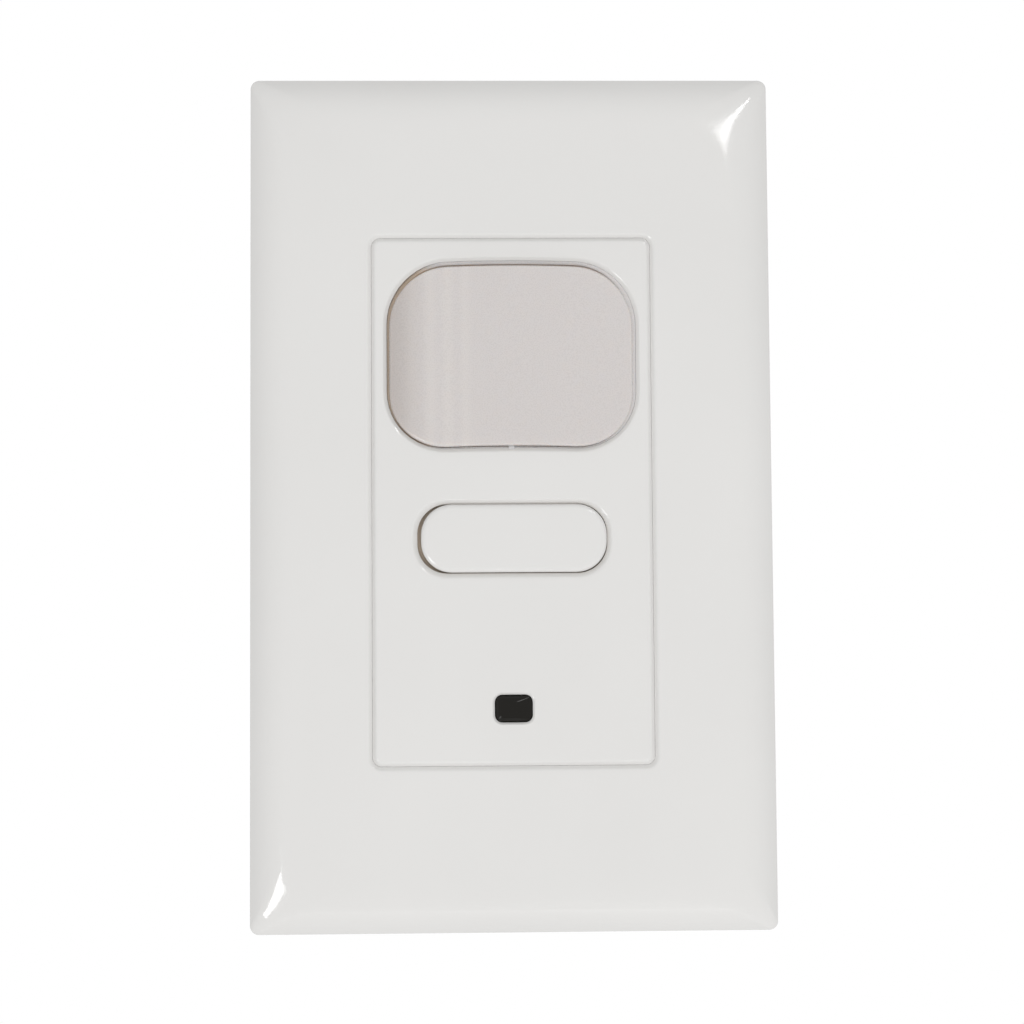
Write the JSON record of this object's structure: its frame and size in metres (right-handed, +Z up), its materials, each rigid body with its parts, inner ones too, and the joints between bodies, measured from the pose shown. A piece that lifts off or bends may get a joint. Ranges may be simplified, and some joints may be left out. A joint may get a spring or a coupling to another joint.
{
  "type": "motion sensor light switch",
  "caption": "Wall switch with a curved motion sensor lens, a long push button and a small dark light window in a flat screwless single-gang plate, with its strap, housing and inner parts.",
  "frame": {"origin": "middle of the two box screw holes, on the strap's back face in the plane of the wall", "axes": "+Z up the wall, +X to the right as seen from the room, +Y into the wall, so the front looks along -Y"},
  "size_m": [0.0698, 0.0402, 0.1142],
  "materials": {
    "white_plastic": "smooth moulded",
    "frame_plastic": "moulded",
    "lens_plastic": "milky, slightly see-through",
    "dark_window": "polished",
    "grey_housing": "moulded",
    "strap_steel": "zinc plated",
    "screw_steel": "plated",
    "ground_green": "dyed plating",
    "terminal_brass": "rolled",
    "board_green": "solder mask over glass fibre",
    "black_plastic": "moulded",
    "blue_plastic": "moulded",
    "yellow_plastic": "moulded",
    "sensor_can": "nickel plated",
    "sensor_filter": "coated silicon",
    "led_red": "tinted epoxy",
    "cell_ceramic": "coated",
    "copper_winding": "enamelled wire",
    "relay_iron": "plated iron",
    "capacitor_can": "sleeved",
    "resistor_ceramic": "coated"
  },
  "bodies": {
    "switch": {"wall_plate": "white_plastic", "plate_frame": "frame_plastic", "plate_frame_screws": "screw_steel", "mounting_strap": "strap_steel", "ground_screw": "ground_green", "front_cover": "white_plastic", "front_housing": "frame_plastic", "fresnel_lens": "lens_plastic", "button_springs": "screw_steel", "photocell_window": "dark_window", "photocell": "cell_ceramic", "pir_sensor": "sensor_can", "pir_filter": "sensor_filter", "pir_collar": "black_plastic", "indicator_led": "led_red", "control_board": "board_green", "board_screws": "screw_steel", "control_chip": "black_plastic", "tact_switch_body": "black_plastic", "time_trimmer_body": "blue_plastic", "light_trimmer_body": "blue_plastic", "link_socket": "black_plastic", "link_header": "terminal_brass", "housing_body": "grey_housing", "back_cover": "grey_housing", "housing_screws": "screw_steel", "terminal_plates": "terminal_brass", "terminal_screws": "terminal_brass", "neutral_plate": "screw_steel", "neutral_screw": "screw_steel", "power_board": "board_green", "relay_base": "black_plastic", "relay_case": "blue_plastic", "relay_coil": "copper_winding", "relay_yoke": "relay_iron", "relay_fixed_contact": "terminal_brass", "film_capacitor": "yellow_plastic", "electrolytic_capacitor": "capacitor_can", "varistor": "blue_plastic", "fusible_resistor": "resistor_ceramic", "bridge_rectifier": "black_plastic"},
    "button": {"push_button": "white_plastic"},
    "plunger": {"tact_plunger": "black_plastic"},
    "time_rotor": {"time_trimmer_rotor": "frame_plastic"},
    "light_rotor": {"light_trimmer_rotor": "frame_plastic"},
    "armature": {"relay_armature": "relay_iron"}
  },
  "joints": [
    {"name": "button_press", "type": "slide", "parent": "switch", "child": "button", "axis": [0, 1, 0], "range_m": [0, 0.0006], "stiffness_N_per_m": 2000, "springref_m": -0.0006, "deforming": ["button_springs"]},
    {"name": "plunger_press", "type": "slide", "parent": "switch", "child": "plunger", "axis": [0, 1, 0], "range_m": [0, 0.0006]},
    {"name": "time_trim", "type": "hinge", "parent": "switch", "child": "time_rotor", "pos_m": [-0.009, 0.003, -0.01766], "axis": [0, -1, 0], "range_deg": [-135, 135]},
    {"name": "light_trim", "type": "hinge", "parent": "switch", "child": "light_rotor", "pos_m": [0.009, 0.003, -0.01766], "axis": [0, -1, 0], "range_deg": [-135, 135]},
    {"name": "armature_pivot", "type": "hinge", "parent": "switch", "child": "armature", "pos_m": [-0.003, 0.0138, 0.02235], "axis": [1, 0, 0], "range_deg": [0, 4], "stiffness_Nm_per_rad": 0.05, "springref_deg": -5.73}
  ],
  "couplings": [
    {"joint": "plunger_press", "follows": "button_press", "ratio": 1}
  ]
}
